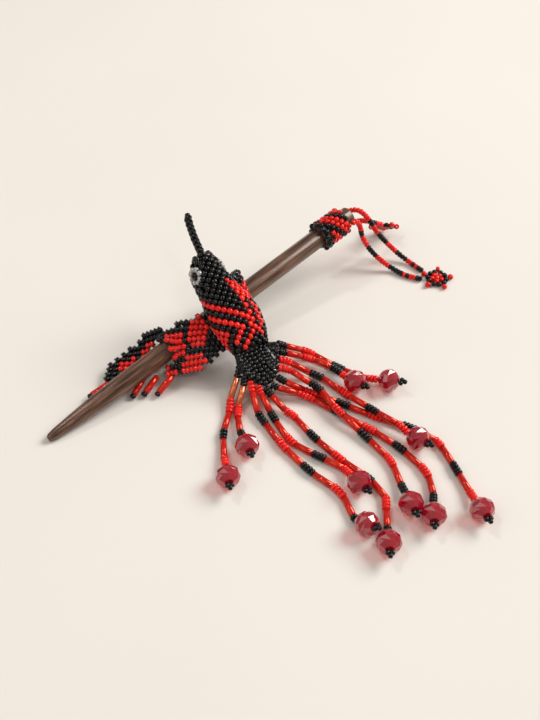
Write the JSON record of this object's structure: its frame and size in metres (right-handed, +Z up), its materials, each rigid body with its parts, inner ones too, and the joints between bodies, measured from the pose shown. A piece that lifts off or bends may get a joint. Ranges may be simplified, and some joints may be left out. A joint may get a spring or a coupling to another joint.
{
  "type": "hair stick",
  "caption": "Wooden hair stick through the slotted wings of a beaded hummingbird, with a fan of bead strings ending in faceted crystals and a star tassel",
  "frame": {"origin": "centre of the bounding box's underside, on the table that the piece lies on", "axes": "+X to the right along the table, +Y away over the table to the bird's head, +Z up; the stick runs from its tip at low X and low Y up to its blunt end at high X and high Y"},
  "size_m": [0.1432, 0.1566, 0.0392],
  "materials": {
    "wood": "dark brown, satin varnish",
    "red_beads": "opaque and silver-lined red glass beads",
    "black_beads": "glossy jet black glass beads",
    "white_beads": "pearl white glass beads",
    "ruby": "clear ruby glass, faceted, lustre coat"
  },
  "bodies": {
    "bird": {"body": "black_beads", "eye_left": "white_beads", "eye_right": "white_beads", "beak": "black_beads", "wing_left": "red_beads", "fringe_left_1": "red_beads", "fringe_left_2": "red_beads", "fringe_left_3": "red_beads", "fringe_left_4": "red_beads", "wing_right": "red_beads", "fringe_right_1": "red_beads", "fringe_right_2": "red_beads", "fringe_right_3": "red_beads", "fringe_right_4": "red_beads", "crystal_1": "ruby", "tail_string_1": "red_beads", "crystal_2": "ruby", "tail_string_2": "red_beads", "crystal_3": "ruby", "tail_string_3": "red_beads", "crystal_4": "ruby", "tail_string_4": "red_beads", "crystal_5": "ruby", "tail_string_5": "red_beads", "crystal_6": "ruby", "tail_string_6": "red_beads", "crystal_7": "ruby", "tail_string_7": "red_beads", "crystal_8": "ruby", "tail_string_8": "red_beads", "crystal_9": "ruby", "tail_string_9": "red_beads", "crystal_10": "ruby", "tail_string_10": "red_beads", "crystal_11": "ruby", "tail_string_11": "red_beads", "tail_flap": "black_beads"},
    "stick": {"stick": "wood", "sleeve_rim": "black_beads", "sleeve": "red_beads", "tassel_string_1": "red_beads", "tassel_string_2": "red_beads", "tassel_string_3": "red_beads", "star_flat": "red_beads", "star_leaning": "red_beads"}
  },
  "joints": [
    {"name": "stick_slide", "type": "slide", "parent": "bird", "child": "stick", "axis": [0.7397, 0.6567, 0.1469], "range_m": [0, 0.095]}
  ]
}
